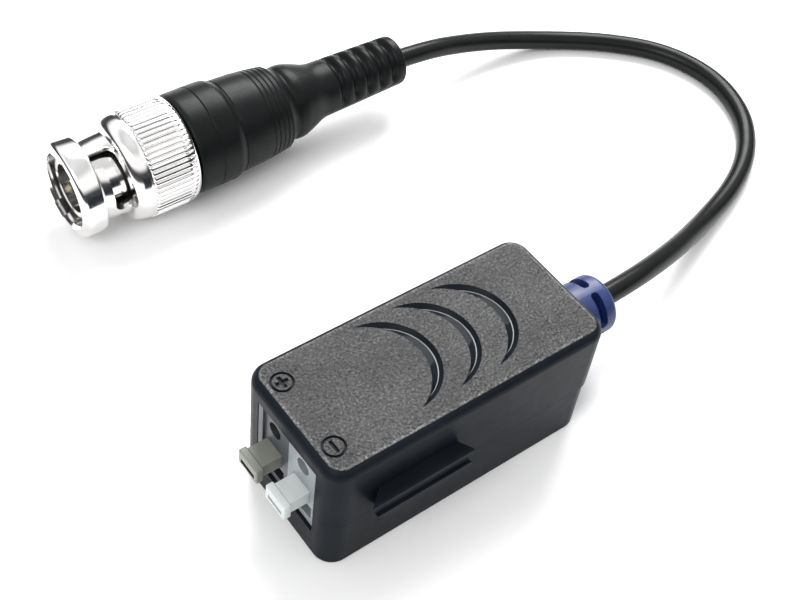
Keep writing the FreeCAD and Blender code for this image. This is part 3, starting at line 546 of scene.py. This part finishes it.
def nut_outline():
    """Nut's section: bore, rear step with the ring's groove, bezel, knurl, dome, barrel and rolled flange."""
    groove_low, groove_high, groove_radius = RING_GROOVE
    inside = [(0.0, BORE_RADIUS + BORE_CHAMFER), (BORE_CHAMFER, BORE_RADIUS), (REAR_START, BORE_RADIUS),
              (REAR_START, REAR_RADIUS), (groove_low, REAR_RADIUS), (groove_low, groove_radius),
              (groove_high, groove_radius), (groove_high, REAR_RADIUS), (NUT_END - REAR_CHAMFER, REAR_RADIUS),
              (NUT_END, REAR_RADIUS + REAR_CHAMFER)]
    bezel = quarter_turn(KNURL_END, NUT_RADIUS - BEZEL_FALL, BEZEL_LENGTH, BEZEL_HEIGHT, 0, BEZEL_STEPS)
    knurl = [(KNURL_END - BEZEL_GAP, NUT_RADIUS)]
    knurl += [(KNURL_START + x, NUT_RADIUS - fall) for x, fall in KNURL_RUN_OUT]
    dome = quarter_turn(DOME_END, REAR_RADIUS, DOME_LENGTH, DOME_HEIGHT, 90, DOME_STEPS)
    barrel = [(BARREL_END + DOME_FILLET[0], BARREL_RADIUS + DOME_FILLET[1]),
              (BARREL_END, BARREL_RADIUS), (BARREL_START, BARREL_RADIUS),
              (BARREL_START - FLANGE_FILLET[0], BARREL_RADIUS + FLANGE_FILLET[1]),
              (FLANGE_END, BARREL_RADIUS + FLANGE_FOOT)]
    flange_back = quarter_turn(FLANGE_END - FLANGE_BACK_ROLL, FLANGE_RADIUS - FLANGE_BACK_ROLL,
                               FLANGE_BACK_ROLL, FLANGE_BACK_ROLL, 0, FLANGE_BACK_STEPS)
    flange_front = quarter_turn(FLANGE_FRONT_ROLL, FLANGE_RADIUS - FLANGE_FRONT_ROLL,
                                FLANGE_FRONT_ROLL, FLANGE_FRONT_ROLL, 90, FLANGE_FRONT_STEPS)
    return inside + bezel + knurl + dome + barrel + flange_back + flange_front


def slot_outline():
    """Slot laid flat as (x, way round the barrel): two round ends, joined by two sides."""
    low = math.radians(SLOT_ENTRY_DEG) * BARREL_RADIUS
    high = math.radians(SLOT_EYE_DEG) * BARREL_RADIUS

    def side(share, sign):
        half = SLOT_HALF + share * (SLOT_EYE_RADIUS - SLOT_HALF)
        middle = SLOT_ENTRY_X + share * (SLOT_EYE_X - SLOT_ENTRY_X)
        return (middle + sign * half, low + share * (high - low))

    shares = [(step + 0.5) / SLOT_SIDE_STEPS for step in range(SLOT_SIDE_STEPS)]
    turns = [math.pi * step / SLOT_END_STEPS for step in range(SLOT_END_STEPS + 1)]
    entry = [(SLOT_ENTRY_X + SLOT_HALF * math.cos(t), low - SLOT_HALF * math.sin(t)) for t in turns]
    eye = [(SLOT_EYE_X - SLOT_EYE_RADIUS * math.cos(t), high + SLOT_EYE_RADIUS * math.sin(t)) for t in turns]
    front = [side(share, -1) for share in shares]
    rear = [side(share, 1) for share in reversed(shares)]
    return entry + front + eye + rear


def cutter_object(name, points, faces):
    mesh = mesh_mm(name, points, faces)
    face_outward(mesh)
    return new_object(name, mesh)


def slot_cutter(name, half_turn_deg):
    """Curved bayonet slot, from its entry to its round eye."""
    rows = slot_outline()
    points = []
    for radius in (SLOT_CUT_FROM, NUT_RADIUS + SLOT_CUT_PAST):
        for x, along in rows:
            angle = along / BARREL_RADIUS + math.radians(half_turn_deg)
            points.append((PLUG.x + x, PLUG.y - radius * math.sin(angle), PLUG.z + radius * math.cos(angle)))
    count = len(rows)
    faces = [tuple(range(count)), tuple(range(2 * count - 1, count - 1, -1))]
    faces += [(i, count + i, count + (i + 1) % count, (i + 1) % count) for i in range(count)]
    return cutter_object(name, points, faces)


def channel_cutter(name, half_turn_deg):
    """Straight entry under the flange, as wide as the slot."""
    points = []
    turn = math.radians(SLOT_ENTRY_DEG + half_turn_deg)
    corners = ((-SLOT_HALF, CHANNEL_CUT_FROM), (SLOT_HALF, CHANNEL_CUT_FROM),
               (SLOT_HALF, CHANNEL_RADIUS), (-SLOT_HALF, CHANNEL_RADIUS))
    for x in (-CHANNEL_PAST, SLOT_ENTRY_X):
        for across, height in corners:
            points.append((PLUG.x + x, PLUG.y + across * math.cos(turn) - height * math.sin(turn),
                           PLUG.z + across * math.sin(turn) + height * math.cos(turn)))
    faces = [(0, 1, 2, 3), (7, 6, 5, 4), (0, 4, 5, 1), (1, 5, 6, 2), (2, 6, 7, 3), (3, 7, 4, 0)]
    return cutter_object(name, points, faces)


def cut(piece, cutters):
    """Takes the cutters out of a mesh, one after another, and deletes them."""
    for cutter in cutters:
        modifier = piece.modifiers.new("cut", "BOOLEAN")
        modifier.operation = "DIFFERENCE"
        modifier.solver = "EXACT"
        modifier.object = cutter
    graph = bpy.context.evaluated_depsgraph_get()
    graph.update()
    mesh = bpy.data.meshes.new_from_object(piece.evaluated_get(graph))
    piece.modifiers.clear()
    piece.data = mesh
    for cutter in cutters:
        bpy.data.objects.remove(cutter)


def coupling_nut():
    mesh = lathe("bayonet_nut", nut_outline(), PLUG, KNURL_TEETH * KNURL_STEPS, True, knurl_radius)
    face_outward(mesh)
    piece = new_piece("bayonet_nut", mesh, "coupling_nut")
    cut(piece, [slot_cutter("slot_a", 0), slot_cutter("slot_b", 180),
                channel_cutter("channel_a", 0), channel_cutter("channel_b", 180)])
    shade(piece.data, NUT_SHARP_DEG)
    dress(piece, MATERIALS["nickel"])
    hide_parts("coupling_nut")
    return piece


# Moulded boot: soft ribs on its two open sides, joined by a spine above and below.
# Its places are (x, radius, corner), with x counted from its mouth at the nut

RIB_FIRST = 24.5
RIB_PITCH = 2.2
RIBS = 5
RIB_DEPTH = 0.72
RIB_LOW = RIB_FIRST - RIB_PITCH / 2
RIB_HIGH = RIB_LOW + RIBS * RIB_PITCH
RIB_ROWS = 110
RIB_INNER_LIMIT = 3.0
RIB_SHARPNESS = 1.6
SPINE_DEG = 57.7
SPINE_HALF = 0.18
SPINE_FADE = 0.42
LINE_HALF = 0.12
LINE_DEPTH = 0.10
LINE_CORNER = 0.03
BOOT_RIM = [(0.0, 4.35, 0.0), (0.0, 6.7, 0.25), (0.5, 6.9, 0.3)]
FIRST_LINE = (3.2, 6.93)
BOOT_STEP = [(6.0, 6.9, 0.5), (6.8, 6.47, 0.2)]
STEP_LINE = (7.0, 6.46)
BOOT_SHOULDER = (10.4, 6.35, 1.0)
BAND_LINES = 5
BAND_FIRST = (11.5, 6.24)
BAND_STEP = (0.75, 0.085)
BOOT_NECK = [(15.5, 5.3, 0.7), (16.0, 4.95, 0.25), (16.6, 5.24, 0.3), (17.6, 5.25, 0.7), (19.2, 4.75, 0.8),
             (20.9, 4.1, 0.7), (21.8, 3.9, 0.5)]
TAIL_TAPER = 0.35
TAIL_CORNER = 0.75
CABLE_HOLE_RADIUS = 1.38
CABLE_HOLE_CORNER = 0.1
CABLE_HOLE_DEPTH = 1.5
BOOT_CORNER_STEPS = 5
BOOT_SEGMENTS = 128


def rib_radius(x, r, angle):
    if not RIB_LOW < x < RIB_HIGH or r < RIB_INNER_LIMIT:
        return r
    wave = 0.5 + 0.5 * math.cos(2 * math.pi * (x - RIB_FIRST) / RIB_PITCH)
    open_side = abs(math.sin(angle - math.radians(SPINE_DEG)))
    share = min(1.0, max(0.0, (open_side - SPINE_HALF) / SPINE_FADE))
    return r - RIB_DEPTH * wave ** RIB_SHARPNESS * share * share * (3 - 2 * share)


def scored_line(x, r):
    """Fine line round the boot."""
    low, high = x - LINE_HALF, x + LINE_HALF
    return [(low, r, LINE_CORNER), (x, r - LINE_DEPTH, LINE_CORNER), (high, r, LINE_CORNER)]


def boot_outline(end):
    """Boot's outside from its mouth at the nut to its tail, as (x, radius, corner)."""
    outline = BOOT_RIM + scored_line(*FIRST_LINE) + BOOT_STEP + scored_line(*STEP_LINE) + [BOOT_SHOULDER]
    for band in range(BAND_LINES):
        outline += scored_line(BAND_FIRST[0] + BAND_STEP[0] * band, BAND_FIRST[1] - BAND_STEP[1] * band)
    outline += BOOT_NECK
    tail_x, tail_radius, corner = BOOT_NECK[-1]
    for row in range(RIB_ROWS + 1):
        x = RIB_LOW + (RIB_HIGH - RIB_LOW) * row / RIB_ROWS
        outline.append((x, tail_radius - TAIL_TAPER * (x - tail_x) / (end - tail_x), 0.0))
    outline += [(end, tail_radius - TAIL_TAPER, TAIL_CORNER), (end, CABLE_HOLE_RADIUS, CABLE_HOLE_CORNER),
                (end - CABLE_HOLE_DEPTH, CABLE_HOLE_RADIUS, 0.0)]
    return rounded_outline(outline, BOOT_CORNER_STEPS)


def plug_boot():
    low, high = box_mm("plug_boot")
    origin = Vector((low.x, PLUG.y, PLUG.z))
    mesh = lathe("boot_sleeve", boot_outline(high.x - low.x), origin, BOOT_SEGMENTS, False, rib_radius)
    piece = new_piece("boot_sleeve", mesh, "housing")
    dress(piece, MATERIALS["boot"])
    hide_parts("plug_boot")
    return piece


# The cord comes first of all the pieces

cord = cable()
boot = plug_boot()
nut = coupling_nut()


# Housing, terminals and strain relief, with the small radii of moulded parts

SHELL_ROUNDING = 0.08
GLAND_ROUNDING = 0.14
BLOCK_ROUNDING = 0.12
LEVER_ROUNDING = 0.08
LID_FACING = 0.93
LID_DEPTH = 0.12
# Faces that get the painted highlight line: flat, and this far below the top.
HIGHLIGHT_LINE_FACING = 0.98
HIGHLIGHT_LINE_DEPTHS = (0.47, 0.53)


def housing_shell(node, name):
    """Shell in satin plastic, its tone painted dark as shade; its flat top has the lid's grain in a tone
    painted lighter, and the flat floors of the crescents a painted highlight line.
    """
    piece = softened(node, name, "housing", SHELL_ROUNDING)
    dress(piece, MATERIALS["housing"], LID, CRESCENT_HIGHLIGHT_LINE)
    top = box_mm("upper_shell")[1].z
    shallow, deep = HIGHLIGHT_LINE_DEPTHS
    for face in piece.data.polygons:
        below = top - face.center.z / MM
        # The flat top takes the lighter painted tone; the sides and grooves keep the darker copy as painted
        # shade.
        if face.normal.z > LID_FACING and below < LID_DEPTH:
            face.material_index = 1
        # Flat floors of the crescents get the painted highlight line.
        elif face.normal.z > HIGHLIGHT_LINE_FACING and shallow < below < deep:
            face.material_index = 2


housing_shell("upper_shell", "lid_shell")
housing_shell("lower_shell", "base_shell")
gland = softened("cable_gland", "strain_relief", "housing", GLAND_ROUNDING)
dress(gland, MATERIALS["gland"])

TERMINAL_SLOT = {"plus": "terminal_grey", "minus": "terminal_white"}
END_RIB_PROUD = {"plus": 0.35, "minus": 0.0}
HOLLOW_DEPTH = 0.30
LEVER_SLOT_DEPTHS = (0.05, 0.55)
LEVER_SLOT_HALF_WIDTH = 1.31
LEVER_SLOT_HALF_HEIGHT = 0.34
LEVER_SLOT_FALL = 0.35


def terminal(pole):
    """Terminal block and its lever, with the tones that their hollows have in shade."""
    slot = TERMINAL_SLOT[pole]
    block = softened("terminal_housing_" + pole, "terminal_block_" + pole, "housing", BLOCK_ROUNDING)
    dress(block, MATERIALS[slot], POLE_HOLLOW_SHADE[pole])
    front = box_mm("terminal_housing_" + pole)[0].x + END_RIB_PROUD[pole]
    # Faces deeper than the front get the painted shade of the holes.
    for face in block.data.polygons:
        if face.center.x > (front + HOLLOW_DEPTH) * MM:
            face.material_index = 1
    lever = softened("lever_" + pole, "push_lever_" + pole, "lever_" + pole, LEVER_ROUNDING)
    dress(lever, LEVER[pole], LEVER_SLOT_SHADE[pole])
    low, high = box_mm("lever_" + pole)
    middle = (low.y + high.y) / 2
    slot_z = (low.z + high.z) / 2 - LEVER_SLOT_FALL
    near, far = LEVER_SLOT_DEPTHS
    # Faces inside the slot get its painted shade.
    for face in lever.data.polygons:
        place = face.center / MM
        across = abs(place.y - middle)
        height = abs(place.z - slot_z)
        if (near < place.x - low.x < far and across < LEVER_SLOT_HALF_WIDTH
                and height < LEVER_SLOT_HALF_HEIGHT):
            face.material_index = 1


terminal("plus")
terminal("minus")


def clamp_spring(pole):
    """Copy of the spring as a piece of its own on the housing."""
    data = NODES["clamp_spring_" + pole].data.copy()
    piece = new_piece("pressed_spring_" + pole, data, "housing")
    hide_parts("clamp_spring_" + pole)
    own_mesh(piece)


clamp_spring("plus")
clamp_spring("minus")


# Floor and light, in metres

FLOOR_HALF = 2.5
FLOOR_DROP = 0.02 * MM
LAMP_TARGET = (0.0, 0.02, 0)
LAMP_SIZE = 0.30
MIRROR_WAY = Vector((0.445, 0.478, 0.757))
KEY_PLACE = MIRROR_WAY * 0.50 + Vector((0.03, 0.04, 0))
KEY_WATTS = 4.0
FILL_PLACE = (-0.40, -0.14, 0.45)
FILL_WATTS = 1.5
DOME_TONES = [
    (0.0, (0.05, 0.05, 0.055)), (0.34, (0.04, 0.04, 0.045)), (0.50, (1.0, 1.0, 1.0)), (0.80, (1.0, 1.0, 1.0)),
    (0.90, (0.62, 0.62, 0.63)), (1.0, (0.80, 0.80, 0.81)),
]
DOME_STRENGTH = 1.15


def floor():
    mesh = bpy.data.meshes.new("floor")
    corners = [(x * FLOOR_HALF, y * FLOOR_HALF, 0) for x, y in ((-1, -1), (1, -1), (1, 1), (-1, 1))]
    mesh.from_pydata(corners, [], [(0, 1, 2, 3)])
    piece = new_object("floor", mesh)
    piece.location.z = -FLOOR_DROP
    piece.data.materials.append(material("floor_paper", (0.92, 0.92, 0.92), 0.85)[0])


def lamp(name, place, power):
    data = bpy.data.lights.new(name, "AREA")
    data.shape = "RECTANGLE"
    data.size = LAMP_SIZE
    data.size_y = LAMP_SIZE
    data.energy = power
    piece = new_object(name, data)
    piece.location = place
    piece.rotation_euler = (Vector(LAMP_TARGET) - Vector(place)).to_track_quat("-Z", "Y").to_euler()


def world():
    """A pale dome of light over a dark band round the horizon, so that metal has something to mirror."""
    scene_world = bpy.data.worlds.new("studio")
    bpy.context.scene.world = scene_world
    scene_world.use_nodes = True
    tree = scene_world.node_tree
    background = tree.nodes["Background"]
    place = tree.nodes.new("ShaderNodeTexCoord")
    split = tree.nodes.new("ShaderNodeSeparateXYZ")
    tree.links.new(place.outputs["Generated"], split.inputs["Vector"])
    tree.links.new(ramp(tree, split.outputs["Z"], DOME_TONES), background.inputs["Color"])
    background.inputs["Strength"].default_value = DOME_STRENGTH


floor()
world()
lamp("key", KEY_PLACE, KEY_WATTS)
lamp("fill", FILL_PLACE, FILL_WATTS)
bpy.context.scene.view_settings.view_transform = "Standard"
